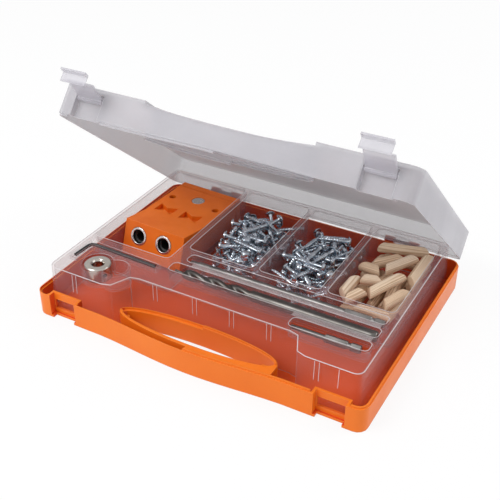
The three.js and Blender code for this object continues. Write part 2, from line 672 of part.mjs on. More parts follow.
const jig = new THREE.Group();
jig.position.copy(JIG_PLACE);
jig.rotation.z = radians(JIG_TURN);
jig.add(node('jig_body', jigBody(), ORANGE));
jig.add(node('jig_end_plate', jigEndPlate(), ORANGE));
jig.add(node('jig_magnet', jigMagnet(), STEEL));
['left', 'right'].forEach((side, i) => {
  jig.add(node(`guide_bush_${side}`, guideBush(BUSH_X[i]), STEEL));
  jig.add(node(`jig_screw_${side}`, jigScrew(SCREW_X[i]), BLACK_STEEL));
});
group.add(jig);

group.add(node('stop_collar', stopCollar(), STEEL));
group.add(node('collar_grub_screw', collarGrubScrew(), BLACK_STEEL));
group.add(node('hex_key', hexKey(), BLACK_STEEL));
group.add(node('stepped_drill', steppedDrill(), TOOL_STEEL));
group.add(node('driver_bit_long', driverBit(LONG_BIT, 2.6, 34), TOOL_STEEL));
group.add(node('driver_bit_short', driverBit(SHORT_BIT, 2.2, 30), TOOL_STEEL));
group.add(node('screws_left', screwHeap(-23.5, 36, 0.55), ZINC));
group.add(node('screws_right', screwHeap(43.7, 36, 1.1), ZINC));
PLUGS.forEach((place, i) => {
  group.add(node(`plug_${String(i + 1).padStart(2, '0')}`, woodPlug(place), WOOD));
});

export default group;
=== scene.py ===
"""Looks of a pocket-hole jig kit in its carry case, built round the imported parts."""
import json
import math

import bmesh
import bpy
import numpy as np
from mathutils import Matrix

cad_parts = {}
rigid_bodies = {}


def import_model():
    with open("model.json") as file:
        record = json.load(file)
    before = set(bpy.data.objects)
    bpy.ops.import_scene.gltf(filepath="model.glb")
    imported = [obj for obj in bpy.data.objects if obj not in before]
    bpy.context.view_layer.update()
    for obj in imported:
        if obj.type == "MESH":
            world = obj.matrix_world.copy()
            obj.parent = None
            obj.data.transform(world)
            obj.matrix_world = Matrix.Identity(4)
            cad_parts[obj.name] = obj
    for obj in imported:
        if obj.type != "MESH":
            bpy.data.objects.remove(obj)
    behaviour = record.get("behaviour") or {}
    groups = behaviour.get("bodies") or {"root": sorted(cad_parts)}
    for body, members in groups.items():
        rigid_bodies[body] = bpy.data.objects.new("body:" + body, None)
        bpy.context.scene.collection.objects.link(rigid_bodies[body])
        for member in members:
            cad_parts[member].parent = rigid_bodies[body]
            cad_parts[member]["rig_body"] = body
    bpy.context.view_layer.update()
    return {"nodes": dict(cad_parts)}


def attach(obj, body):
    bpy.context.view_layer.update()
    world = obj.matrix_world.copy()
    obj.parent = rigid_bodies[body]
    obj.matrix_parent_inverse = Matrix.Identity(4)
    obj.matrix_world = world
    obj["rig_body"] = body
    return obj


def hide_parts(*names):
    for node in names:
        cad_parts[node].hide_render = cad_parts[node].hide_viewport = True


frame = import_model()
MM = 0.001

# ---- places shared by several pieces, in millimetres ----
JIG_PLACE = np.array([-105.1, -10.2, 9.4])
JIG_TURN = math.radians(-3)
FACE_TILT = math.radians(18)
JIG_REAR_HEIGHT = 27.5
BUSH_X = (-17.0, 11.7)
BUSH_HEIGHT = 19.2
COLLAR = np.array([-112.0, -76.0, 30.5])
TRAY_TOP = 45.5
POCKET_FLOOR = 9.0
FLOOR_INSET = 2.6
POCKETS = [(-142, -61.5, -42, 99), (-55.5, 9, -19, 96.5), (14.5, 73, -19, 96.5), (79, 139, -19, 96.5)]
TRENCHES = [(-47, 138, -37, -25), (-54, 138.5, -55.5, -42.5), (70.5, 138.5, -74, -61.5)]


# ---- node helpers ----
def node(tree, kind, settings=None, **sockets):
    """A shader node with its settings and sockets filled; a socket given as another socket is linked."""
    made = tree.nodes.new("ShaderNode" + kind)
    for key, value in (settings or {}).items():
        setattr(made, key, value)
    for key, value in sockets.items():
        socket = made.inputs[int(key[1:])] if key[0] == "_" else made.inputs[key.replace("_", " ")]
        if isinstance(value, bpy.types.NodeSocket):
            tree.links.new(value, socket)
        else:
            socket.default_value = value
    return made


def mixed(tree, share, a, b):
    """Colour a turning into colour b by a share."""
    return node(tree, "Mix", {"data_type": "RGBA"}, _0=share, _6=a, _7=b).outputs[2]


def maths(tree, operation, a, b=0.0, clamp=False):
    return node(tree, "Math", {"operation": operation, "use_clamp": clamp}, _0=a, _1=b).outputs[0]


def new_group(name, inputs, outputs):
    """An empty shader node group with named inputs (label, kind, value) and outputs (label, kind)."""
    tree = bpy.data.node_groups.new(name, "ShaderNodeTree")
    for label, kind, value in inputs:
        tree.interface.new_socket(label, in_out="INPUT", socket_type="NodeSocket" + kind).default_value = value
    for label, kind in outputs:
        tree.interface.new_socket(label, in_out="OUTPUT", socket_type="NodeSocket" + kind)
    return tree, tree.nodes.new("NodeGroupInput").outputs, tree.nodes.new("NodeGroupOutput").inputs


def make_skin():
    """Moulded or ground surface: a broad noise shifts the colour towards the shade and the roughness with it,
    and a fine noise, stretched along one axis by the Stretch input, is the height."""
    tree, got, put = new_group("surface_skin", [
        ("Colour", "Color", (1, 1, 1, 1)), ("Shade", "Color", (0, 0, 0, 1)), ("Roughness", "Float", 0.4),
        ("Patch", "Float", 20.0), ("Grain", "Float", 1200.0), ("Stretch", "Vector", (1, 1, 1))],
        [("Colour", "Color"), ("Roughness", "Float"), ("Height", "Float")])
    place = node(tree, "TexCoord").outputs["Object"]
    drawn = node(tree, "VectorMath", {"operation": "MULTIPLY"}, _0=place, _1=got["Stretch"]).outputs[0]
    patch = node(tree, "TexNoise", Vector=place, Scale=got["Patch"], Detail=4.0).outputs["Fac"]
    grain = node(tree, "TexNoise", Vector=drawn, Scale=got["Grain"], Detail=2.0).outputs["Fac"]
    both = maths(tree, "ADD", maths(tree, "MULTIPLY", patch, 0.75), maths(tree, "MULTIPLY", grain, 0.25))
    share = node(tree, "MapRange", Value=both, From_Min=0.35, From_Max=0.7).outputs[0]
    tree.links.new(mixed(tree, share, got["Colour"], got["Shade"]), put["Colour"])
    shift = maths(tree, "MULTIPLY", maths(tree, "SUBTRACT", both, 0.5), 0.35)
    tree.links.new(maths(tree, "ADD", got["Roughness"], shift, True), put["Roughness"])
    tree.links.new(grain, put["Height"])
    return tree


def make_edge():
    """Softened edges: the normal is averaged over a small width, and the mask is how far that average
    turns away from the face's own normal, so that it is bright only along edges. The materials use this mask to paint
    a highlight along edges."""
    tree, got, put = new_group("soft_edge", [("Width", "Float", 0.0006)], [("Mask", "Float"), ("Normal", "Vector")])
    bevel = node(tree, "Bevel", {"samples": 6}, Radius=got["Width"]).outputs[0]
    own = node(tree, "NewGeometry").outputs["Normal"]
    dot = node(tree, "VectorMath", {"operation": "DOT_PRODUCT"}, _0=bevel, _1=own).outputs["Value"]
    mask = node(tree, "MapRange", Value=dot, From_Min=0.995, From_Max=0.8).outputs[0]
    tree.links.new(mask, put["Mask"])
    tree.links.new(bevel, put["Normal"])
    return tree


def make_wood():
    """Wood grain read from each plug's own lengthways and crossways places: a noise stretched along the
    plug gives fibres, and rings round an off-centre pith give the broad bands."""
    tree, got, put = new_group("wood_grain", [
        ("Pale", "Color", (1, 1, 1, 1)), ("Dark", "Color", (0, 0, 0, 1)), ("Bands", "Float", 420.0)],
        [("Colour", "Color"), ("Roughness", "Float"), ("Height", "Float")])
    place = node(tree, "Attribute", {"attribute_name": "grain"}).outputs["Vector"]
    thin = node(tree, "VectorMath", {"operation": "MULTIPLY"}, _0=place, _1=(0.06, 1.0, 1.0)).outputs[0]
    fibre = node(tree, "TexNoise", Vector=thin, Scale=1500.0, Detail=3.0).outputs["Fac"]
    sway = node(tree, "TexNoise", Vector=thin, Scale=110.0, Detail=2.0).outputs["Color"]
    bent = node(tree, "VectorMath", {"operation": "MULTIPLY_ADD"}, _0=sway, _1=(0.004, 0.004, 0.004), _2=thin)
    band = node(tree, "TexWave", {"wave_type": "RINGS", "rings_direction": "X"}, Vector=bent.outputs[0],
                Scale=got["Bands"], Distortion=1.2, Detail=1.0).outputs["Fac"]
    both = maths(tree, "ADD", maths(tree, "MULTIPLY", band, 0.55), maths(tree, "MULTIPLY", fibre, 0.45))
    share = node(tree, "MapRange", Value=both, From_Min=0.35, From_Max=0.85).outputs[0]
    tree.links.new(mixed(tree, share, got["Pale"], got["Dark"]), put["Colour"])
    tree.links.new(node(tree, "MapRange", Value=fibre, To_Min=0.6, To_Max=0.85).outputs[0], put["Roughness"])
    tree.links.new(both, put["Height"])
    return tree


SKIN, EDGE, WOOD = make_skin(), make_edge(), make_wood()


# ---- materials ----
def blank(name):
    made = bpy.data.materials.new(name)
    made.use_nodes = True
    made.node_tree.nodes.clear()
    return made, made.node_tree


def surfaced(tree, shader):
    tree.links.new(shader.outputs[0], node(tree, "OutputMaterial").inputs["Surface"])


def skin_of(tree, colour, shade, rough, patch, grain, stretch=(1, 1, 1)):
    return node(tree, "Group", {"node_tree": SKIN}, Colour=(*colour, 1), Shade=(*shade, 1), Roughness=rough,
                Patch=patch, Grain=grain, Stretch=stretch).outputs


def opaque(name, colour, shade, rough, edge_highlight, metallic=0.0, patch=20.0, grain=1200.0, stretch=(1, 1, 1),
           bump=0.1, width=0.0006, shine=0.5, inner_shade=None):
    """A solid plastic or metal: the skin's colour, turning to a lighter colour along its edges as a painted
    highlight.
    Faces that look towards the middle of the case take a darker, redder colour as painted shade, where one is given."""
    made, tree = blank(name)
    skin = skin_of(tree, colour, shade, rough, patch, grain, stretch)
    edge = node(tree, "Group", {"node_tree": EDGE}, Width=width).outputs
    # Painted highlight: the colour turns lighter along edges, where the edge mask is high.
    tone = mixed(tree, maths(tree, "MULTIPLY", edge["Mask"], 0.6), skin["Colour"], (*edge_highlight, 1))
    # Painted shade: faces turned towards the middle of the case darken to a redder colour, standing in for the shade
    # and orange bounce light inside the case.
    if inner_shade:
        place = node(tree, "TexCoord").outputs["Object"]
        away = node(tree, "VectorMath", {"operation": "SUBTRACT"}, _0=place, _1=(0, 0, 0.012)).outputs[0]
        own = node(tree, "NewGeometry").outputs["Normal"]
        facing = node(tree, "VectorMath", {"operation": "DOT_PRODUCT"}, _0=away, _1=own).outputs["Value"]
        inner_shade_share = node(tree, "MapRange", Value=facing, From_Min=-0.002, From_Max=-0.009).outputs[0]
        tone = mixed(tree, inner_shade_share, tone, (*inner_shade, 1))
    bump = node(tree, "Bump", Strength=bump, Distance=0.0002, Height=skin["Height"], Normal=edge["Normal"])
    surfaced(tree, node(tree, "BsdfPrincipled", Base_Color=tone, Roughness=skin["Roughness"], Metallic=metallic,
                        Specular_IOR_Level=shine, Normal=bump.outputs[0]))
    return made


def clear(name, colour, edge_highlight_colour, rough, face_on, edge_on, rim, width=0.0008, haze=25.0, bump=0.04):
    """A see-through plastic: it covers a little face on, more at a glancing angle and most along its edges,
    where it turns pale as a painted highlight; a broad haze varies how much it covers."""
    made, tree = blank(name)
    skin = skin_of(tree, colour, tuple(0.93 * c for c in colour), rough, haze, 500.0)
    edge = node(tree, "Group", {"node_tree": EDGE}, Width=width).outputs
    glance = node(tree, "LayerWeight", Blend=0.5).outputs["Facing"]
    cover = node(tree, "MapRange", Value=glance, From_Min=0.25, From_Max=1.0, To_Min=face_on, To_Max=edge_on)
    # Painted highlight: along edges the cover rises and the colour turns to the pale edge colour.
    lined = maths(tree, "ADD", cover.outputs[0], maths(tree, "MULTIPLY", edge["Mask"], rim), True)
    tone = mixed(tree, edge["Mask"], skin["Colour"], (*edge_highlight_colour, 1))
    bump = node(tree, "Bump", Strength=bump, Distance=0.0002, Height=skin["Height"], Normal=edge["Normal"])
    surfaced(tree, node(tree, "BsdfPrincipled", Base_Color=tone, Roughness=skin["Roughness"], Alpha=lined,
                        Normal=bump.outputs[0]))
    return made


def wooden(name, pale, dark, bands):
    made, tree = blank(name)
    grain = node(tree, "Group", {"node_tree": WOOD}, Pale=(*pale, 1), Dark=(*dark, 1), Bands=bands).outputs
    bump = node(tree, "Bump", Strength=0.35, Distance=0.0002, Height=grain["Height"])
    surfaced(tree, node(tree, "BsdfPrincipled", Base_Color=grain["Colour"], Roughness=grain["Roughness"],
                        Normal=bump.outputs[0]))
    return made


# In each opaque material the colour after the roughness is its painted edge highlight.
# The case's darker, redder colour for faces turned inwards is painted shade.
CASE_ORANGE = opaque("case_orange", (0.90, 0.205, 0.012), (0.84, 0.17, 0.008), 0.36, (1.0, 0.34, 0.06), shine=0.3,
                     inner_shade=(0.74, 0.085, 0.012))
JIG_ORANGE = opaque("jig_orange", (0.84, 0.175, 0.008), (0.74, 0.135, 0.006), 0.46, (1.0, 0.30, 0.05), shine=0.35,
                    patch=45.0, grain=2200.0, bump=0.18)
# In each clear material the second colour is its painted edge highlight.
LID_CLEAR = clear("lid_frosted", (0.60, 0.59, 0.63), (0.86, 0.85, 0.89), 0.42, 0.42, 0.78, 0.2)
LATCH_CLEAR = clear("latch_frosted", (0.62, 0.60, 0.66), (0.85, 0.84, 0.88), 0.38, 0.45, 0.8, 0.2)
TRAY_CLEAR = clear("tray_clear", (0.46, 0.28, 0.29), (0.92, 0.88, 0.90), 0.10, 0.05, 0.34, 0.26, width=0.0012)
# Painted highlight: a near-white clear for the beads and ribs that stand in for the bright lines where light catches
# the tray's folds.
TRAY_HIGHLIGHT = clear("tray_highlight", (0.93, 0.90, 0.92), (1.0, 1.0, 1.0), 0.12, 0.45, 0.8, 0.1)
CHROME = opaque("bush_chrome", (0.86, 0.85, 0.85), (0.72, 0.71, 0.71), 0.12, (0.95, 0.95, 0.95), 1.0, bump=0.03)
# Painted shade: near black, for the tube that darkens the depth of each bush bore.
BORE_SHADE = opaque("bore_painted_shade", (0.006, 0.006, 0.006), (0.012, 0.010, 0.010), 0.55, (0.03, 0.03, 0.03))
COLLAR_STEEL = opaque("collar_steel", (0.62, 0.58, 0.53), (0.46, 0.41, 0.36), 0.2, (0.95, 0.94, 0.92), 1.0,
                      grain=900.0, stretch=(1, 1, 4), bump=0.06)
BRASSY = opaque("collar_bore", (0.55, 0.30, 0.16), (0.30, 0.10, 0.05), 0.25, (0.9, 0.7, 0.5), 1.0)
MAGNET = opaque("magnet_nickel", (0.62, 0.60, 0.58), (0.48, 0.46, 0.44), 0.3, (0.85, 0.85, 0.84), 1.0,
                grain=1500.0, bump=0.05)
TOOL_STEEL = opaque("tool_steel", (0.26, 0.25, 0.24), (0.12, 0.115, 0.11), 0.34, (0.8, 0.79, 0.78), 1.0,
                    patch=60.0, grain=1600.0, stretch=(0.1, 1, 1), bump=0.08, width=0.0004)
DRILL_STEEL = opaque("drill_steel", (0.17, 0.16, 0.15), (0.07, 0.065, 0.06), 0.33, (0.85, 0.84, 0.82), 1.0,
                     patch=40.0, grain=1400.0, stretch=(4, 1, 1), bump=0.08, width=0.0005)
BLACK_OXIDE = opaque("black_oxide", (0.010, 0.010, 0.011), (0.020, 0.019, 0.018), 0.42, (0.10, 0.10, 0.10),
                     bump=0.1, width=0.0004)
# Painted reflection: the zinc's broad patches darken far towards its shade colour at random, standing in for the dark
# reflections and shade in the heap of screws.
ZINC = opaque("zinc_plate", (0.74, 0.80, 0.86), (0.30, 0.35, 0.41), 0.16, (0.95, 0.98, 1.0), 1.0, patch=140.0,
              grain=2600.0, bump=0.08, width=0.0002)
PLUG_WOODS = [wooden(f"plug_wood_{i}", pale, dark, bands) for i, (pale, dark, bands) in enumerate([
    ((0.86, 0.68, 0.50), (0.55, 0.35, 0.20), 400.0), ((0.81, 0.61, 0.43), (0.46, 0.28, 0.16), 520.0),
    ((0.90, 0.73, 0.56), (0.60, 0.40, 0.25), 330.0)])]


# ---- meshes ----
def finished(name, points, faces, body, slot, look, angle=35, attribute=None, stands_for=(), recalc=True):
    """A piece from points in millimetres and faces; doubles are merged, faces turned outwards, and shading is
    smooth but for edges sharper than an angle."""
    mesh = bpy.data.meshes.new(name)
    mesh.vertices.add(len(points))
    mesh.vertices.foreach_set("co", (np.asarray(points, np.float32) * MM).ravel())
    faces = np.asarray(faces)
    size = faces.shape[1]
    mesh.loops.add(faces.size)
    mesh.loops.foreach_set("vertex_index", faces.astype(np.int32).ravel())
    mesh.polygons.add(len(faces))
    mesh.polygons.foreach_set("loop_start", np.arange(len(faces), dtype=np.int32) * size)
    mesh.update(calc_edges=True)
    if attribute is not None:
        layer = mesh.attributes.new("grain", "FLOAT_VECTOR", "POINT")
        layer.data.foreach_set("vector", (np.asarray(attribute, np.float32) * MM).ravel())
    work = bmesh.new()
    work.from_mesh(mesh)
    bmesh.ops.remove_doubles(work, verts=work.verts, dist=2e-6)
    if recalc:
        bmesh.ops.recalc_face_normals(work, faces=work.faces)
    work.to_mesh(mesh)
    work.free()
    mesh.polygons.foreach_set("use_smooth", np.ones(len(mesh.polygons), bool))
    mesh.set_sharp_from_angle(angle=math.radians(angle))
    mesh.materials.append(look)
    made = bpy.data.objects.new(name, mesh)
    bpy.context.scene.collection.objects.link(made)
    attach(made, body)
    if stands_for:
        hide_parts(*stands_for)
    return made


def quads(rows, columns):
    """Faces of a grid of points, joined round its columns."""
    i, j = np.meshgrid(np.arange(rows - 1), np.arange(columns), indexing="ij")
    k = (j + 1) % columns
    corners = [i * columns + j, i * columns + k, (i + 1) * columns + k, (i + 1) * columns + j]
    return np.stack(corners, -1).reshape(-1, 4)


def together(grids):
    """Points and faces of several grids, each (rows, columns, 3)."""
    points, faces, start = [], [], 0
    for grid in grids:
        points.append(grid.reshape(-1, 3))
        faces.append(quads(grid.shape[0], grid.shape[1]) + start)
        start += grid.shape[0] * grid.shape[1]
    return np.concatenate(points), np.concatenate(faces)


def frame_along(direction):
    """Two directions at right angles to a direction, and the direction itself, as rows."""
    w = np.asarray(direction, float) / np.linalg.norm(direction)
    u = np.cross(w, [0, 0, 1] if abs(w[2]) < 0.9 else [1, 0, 0])
    u /= np.linalg.norm(u)
    return np.array([u, np.cross(w, u), w])


def turned(profile, start, direction, sides=64, shape=None):
    """A profile of (radius, distance) pairs turned round a line; shape can change the radius by the angle."""
    profile = np.array(profile, float)
    angle = np.linspace(0, 2 * np.pi, sides, endpoint=False)
    radius = profile[:, :1] * np.ones(sides) if shape is None else shape(profile, angle)
    axes = frame_along(direction)
    across = np.cos(angle)[None, :, None] * axes[0] + np.sin(angle)[None, :, None] * axes[1]
    return np.asarray(start, float) + radius[..., None] * across + profile[:, 1, None, None] * axes[2]


def tube(path, radius, sides=6, closed=True, up=(0, 0, 1)):
    """A round bead along a path: at each point a circle in the plane across the path's direction."""
    path = np.asarray(path, float)
    if closed:
        ahead = np.roll(path, -1, 0) - np.roll(path, 1, 0)
    else:
        ahead = np.gradient(path, axis=0)
    ahead /= np.linalg.norm(ahead, axis=1)[:, None]
    side = np.cross(ahead, up)
    side /= np.linalg.norm(side, axis=1)[:, None]
    top = np.cross(side, ahead)
    angle = np.linspace(0, 2 * np.pi, sides, endpoint=False)
    ring = np.cos(angle)[None, :, None] * side[:, None] + np.sin(angle)[None, :, None] * top[:, None]
    grid = path[:, None] + radius * ring
    if closed:
        return np.concatenate([grid, grid[:1]])
    ends = [np.repeat(path[i][None, None], sides, 1) for i in (0, -1)]
    return np.concatenate([ends[0], grid, ends[1]])


def refined(name, look, slot, angle):
    """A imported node's own shape with its loose triangles merged, so that its curved faces shade smoothly."""
    source = frame["nodes"][name]
    count = len(source.data.vertices)
    points = np.empty(count * 3, np.float32)
    source.data.vertices.foreach_get("co", points)
    points = points.reshape(-1, 3) / MM
    source.data.calc_loop_triangles()
    faces = np.empty(len(source.data.loop_triangles) * 3, np.int32)
    source.data.loop_triangles.foreach_get("vertices", faces)
    return finished(name + "_finish", points, faces.reshape(-1, 3), source["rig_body"], slot, look, angle,
                    stands_for=(name,), recalc=False)


def rounded_box(x0, x1, y0, y1, radius, steps=6):
    """A rounded rectangle, counter-clockwise: four quarter circles joined by straight sides."""
    angle = np.linspace(0, np.pi / 2, steps + 1)
    corners = [(x1 - radius, y1 - radius, 0), (x0 + radius, y1 - radius, 1), (x0 + radius, y0 + radius, 2),
               (x1 - radius, y0 + radius, 3)]
    return np.concatenate([
        np.stack([x + radius * np.cos(angle + q * np.pi / 2), y + radius * np.sin(angle + q * np.pi / 2)], 1)
        for x, y, q in corners])


def at_height(path, z):
    return np.column_stack([path, np.full(len(path), z)])


def in_jig(points):
    """Points in the jig's own frame, turned and moved to where the jig lies."""
    points = np.asarray(points, float)
    c, s = math.cos(JIG_TURN), math.sin(JIG_TURN)
    turn = np.array([[c, -s, 0], [s, c, 0], [0, 0, 1]])
    return points @ turn.T + JIG_PLACE


# ---- case, lid and tray ----
def build_case():
    refined("case_base", CASE_ORANGE, "case_plastic", 28)
    refined("lid", LID_CLEAR, "lid_plastic", 28)
    for side in ("left", "right"):
        refined(f"latch_{side}", LATCH_CLEAR, "lid_plastic", 28)
        refined(f"hinge_pin_{side}", CHROME, "bright_steel", 40)
    bosses = [turned([(0, 8), (1.9, 8), (2.1, 8.3), (2.1, 20.6), (1.7, 21), (1.1, 21), (1.0, 19.5), (0, 19.5)],
                     (x, y, 0), (0, 0, 1), 24) for x, y in ((-64.5, -100.8), (64.5, -100.8))]
    finished("grip_bosses", *together(bosses), "case", "case_plastic", CASE_ORANGE)


def tray_outline(inset):
    """The tray in plan, its front stepped back between slanted shoulders."""
    half, rear, front, middle, r = 147 - inset, 103 - inset, -102.6 + inset, -79.6 + inset / 4, 6.5
    arc = np.linspace(0, np.pi / 2, 6)

    def corner(x, y, q):
        return np.stack([x + r * np.cos(arc + q * np.pi / 2), y + r * np.sin(arc + q * np.pi / 2)], 1)

    steps = np.array([(-90, front), (-82, front + 2.5), (-74, middle - 2), (-66, middle),
                      (76, middle), (84, middle - 2), (92, front + 2.5), (100, front)])
    return np.concatenate([
        corner(half - r, rear - r, 0), corner(r - half, rear - r, 1), corner(r - half, front + r, 2), steps,
        corner(half - r, front + r, 3)])


def build_tray():
    """The clear tray, with a white bead along each folded edge as a painted highlight, and ribbed lands and upright
    skirt ribs drawn in the same highlight white.
    """
    refined("insert_tray", TRAY_CLEAR, "tray_plastic", 28)
    highlight_beads = [tube(at_height(tray_outline(1.6), TRAY_TOP - 0.1), 0.34)]
    for box in POCKETS:
        highlight_beads.append(tube(at_height(rounded_box(*box, 5), TRAY_TOP), 0.28))
    for x0, x1, y0, y1 in POCKETS:
        floor = rounded_box(x0 + FLOOR_INSET, x1 - FLOOR_INSET, y0 + FLOOR_INSET, y1 - FLOOR_INSET, 4)
        highlight_beads.append(tube(at_height(floor, POCKET_FLOOR + 0.3), 0.22))
    for box in TRENCHES:
        highlight_beads.append(tube(at_height(rounded_box(*box, 4), TRAY_TOP), 0.26))
    finished("tray_highlight_beads", *together(highlight_beads), "case", "tray_plastic", TRAY_HIGHLIGHT)
    # The ribs stand for the tray's ribs and take the same painted highlight white as the beads.
    ribs = []
    for y in (-38.3, -39.4, -40.5, -41.6):
        ribs.append(tube([(x, y, TRAY_TOP + 0.05) for x in np.linspace(-38, 136, 8)], 0.2, closed=False))
    for y in (-56.8, -58.0, -59.2, -60.4):
        ribs.append(tube([(x, y, TRAY_TOP + 0.05) for x in np.linspace(68, 136, 5)], 0.2, closed=False))
    for x in (-52, -48, -13, -9, 22, 26, 56, 60):
        ribs.append(tube([(x, -79.9 + 0.012 * (z - 45), z) for z in np.linspace(29, 45, 4)], 0.26, closed=False,
                         up=(0, 1, 0)))
    for x in (-120, -116, 108, 112, 128):
        ribs.append(tube([(x, -102.9 + 0.035 * (z - 3), z) for z in np.linspace(27, 44.5, 4)], 0.26, closed=False,
                         up=(0, 1, 0)))
    finished("tray_ribs", *together(ribs), "case", "tray_plastic", TRAY_HIGHLIGHT)


# ---- jig ----
def build_jig():
    """The jig's body and end plate, chromed bushes with a black tube in each bore as painted shade, a magnet and
    sunken screws.
    """
    refined("jig_body", JIG_ORANGE, "jig_plastic", 30)
    refined("jig_end_plate", JIG_ORANGE, "jig_plastic", 30)
    for side in ("left", "right"):
        refined(f"jig_screw_{side}", BLACK_OXIDE, "black_steel", 30)
    centre = [0, 80, JIG_REAR_HEIGHT]
    disc = turned([(0, -5), (6.3, -5), (6.5, -4.8), (6.5, -0.8), (6.1, -0.3), (0, -0.3)], centre, (0, 0, 1), 48)
    finished("jig_magnet_disc", *together([in_jig(disc)]), "jig", "bright_steel", MAGNET, stands_for=("jig_magnet",))
    bore = (0, math.cos(FACE_TILT), -math.sin(FACE_TILT))
    for side, x in zip(("left", "right"), BUSH_X):
        start = (x, BUSH_HEIGHT * math.tan(FACE_TILT), BUSH_HEIGHT)
        shell = turned([(5.0, 4.0), (6.4, 3.2), (6.5, 0.1), (6.9, -0.6), (8.5, -0.6), (8.8, -0.3), (8.8, 1), (7.9, 1),
                        (7.9, 23.5), (5.0, 23.5), (5.0, 4.0)], start, bore, 64)
        finished(f"bush_{side}", *together([in_jig(shell)]), "jig", "bright_steel", CHROME, 25,
                 stands_for=(f"guide_bush_{side}",))
        # Painted shade: a black tube inside each bore darkens it where light does not reach.
        lining = turned([(6.45, 0.2), (6.35, 3.15), (4.96, 3.95), (4.96, 23.3), (4.8, 23.3), (4.8, 3.8), (6.2, 3.0),
                         (6.3, 0.2), (6.45, 0.2)], start, bore, 48)
        finished(f"bush_bore_shade_{side}", *together([in_jig(lining)]), "jig", "black_steel", BORE_SHADE, 40)


# ---- tools ----
FLUTE_PITCH = 45.0


def build_collar():
    """The stop collar with its cross hole, a darker lining in the bore, and the grub screw."""
    refined("stop_collar", COLLAR_STEEL, "bright_steel", 25)
    lining = turned([(5.15, 1.2), (5.15, 12.4), (4.95, 12.4), (4.95, 1.2), (5.15, 1.2)], COLLAR, (0, 0, 1), 64)
    finished("collar_lining", *together([lining]), "stop_collar", "bright_steel", BRASSY, 40)
    refined("collar_grub_screw", BLACK_OXIDE, "black_steel", 30)


def build_drill():
    """The stepped drill along X: a pointed pilot, a cone and a body with two flutes that wind round it; the
    flutes cut the radius by a bump in the angle that turns steadily with the distance, and fade out at the shank."""
    start = np.array([-51.0, -48.6, 41.0])
    s = np.concatenate([[0, 0], np.linspace(0.05, 11.5, 34), np.linspace(12, 92, 190), np.linspace(93, 186.4, 24),
                        [187.4, 187.4]])
    body = np.interp(s, [0, 1.6, 9, 11, 186.4, 187.4], [0.15, 1.75, 1.75, 4.7, 4.7, 3.9])
    body[0] = body[-1] = 0
    depth = 0.5 * np.interp(s, [0, 2, 70, 77], [0.2, 1, 1, 0])

    def fluted(profile, angle):
        phase = angle[None, :] - 2 * np.pi * profile[:, 1:] / FLUTE_PITCH
        bump = (0.5 + 0.5 * np.cos(2 * phase)) ** 1.3
        return profile[:, :1] * (1 - depth[:, None] * bump)

    grid = turned(np.column_stack([body, s]), start, (1, 0, 0), 48, fluted)
    finished("stepped_drill_body", *together([grid]), "stepped_drill", "tool_steel", DRILL_STEEL, 40,
             stands_for=("stepped_drill",))


def build_bits():
    """Driver bits: a shaft with a squared tip, and a six-sided shank with a round groove near its end."""
    for name, y, z, left, right, shaft, shank in (("driver_bit_long", -30.8, 41.0, -45.0, 135.6, 2.6, 34),
                                                  ("driver_bit_short", -68.4, 40.6, 71.5, 131.4, 2.2, 30)):
        length = right - left
        hexed = length - shank
        stops = [(0, 0), (1.5, 0), (1.7, 0.4), (1.7, 6), (shaft, 9), (shaft, hexed - 1.5), (shaft, hexed),
                 (3.3, hexed), (3.6, hexed + 0.6), (3.6, length - 12.4), (3.55, length - 12), (2.6, length - 11),
                 (2.6, length - 9),
                 (3.55, length - 8), (3.6, length - 7.6), (3.6, length - 0.8), (3.1, length), (0, length)]

        def sided(profile, angle, left_end=7, hexed=hexed, length=length):
            six = np.cos(np.pi / 6) / np.cos((angle + np.pi / 6) % (np.pi / 3) - np.pi / 6)
            four = 0.8 / np.maximum(np.abs(np.cos(angle)), np.abs(np.sin(angle))).clip(0.72)
            at = profile[:, 1:]
            groove = (at > length - 11.5) & (at < length - 8.5)
            shape = np.where(at < left_end, four, np.where((at >= hexed) & ~groove, six, 1.0))
            return profile[:, :1] * shape

        grid = turned(stops, (left, y, z), (1, 0, 0), 48, sided)
        finished(name + "_body", *together([grid]), name, "tool_steel", TOOL_STEEL, 25, stands_for=(name,))


# ---- screws ----
THREAD_PITCH = 2.6
HEAP_TOP = 45.6
HEAP_FALL = 14
BALL_GAP = 0.86


def screw_grid(tip, direction, spin):
    """One washer-head screw from its tip: a thread whose radius rises to a ridge once a turn, a plain neck, a
    flat washer, a low round head and a squared recess in it."""
    thread = np.linspace(0.4, 19, 42)
    rows = [(0, 0), *[(1.7 * min(1, t / 4.5) ** 0.7, t) for t in thread], (1.7, 19.8), (1.7, 26.4), (2.3, 27.4),
            (4.7, 27.6), (4.9, 27.9), (4.7, 28.3), (3.9, 28.4), (3.6, 29.6), (2.9, 30.1), (1.6, 30.3), (1.45, 28.9),
            (0, 28.9)]

    def threaded(profile, angle):
        s = profile[:, 1:]
        ridge = np.abs((s / THREAD_PITCH - (angle[None, :] + spin) / (2 * np.pi)) % 1 - 0.5) * 2
        lift = 0.85 * ridge ** 3 * np.interp(s, [0.4, 3, 18, 20], [0, 1, 1, 0])
        square = 0.9 / np.maximum(np.abs(np.cos(angle)), np.abs(np.sin(angle)))
        inner = (profile[:, :1] < 1.7) & (s > 28.5)
        return np.where(inner, profile[:, :1] * square, profile[:, :1] + lift * (profile[:, :1] > 0))

    return turned(rows, tip, direction, 10, threaded)


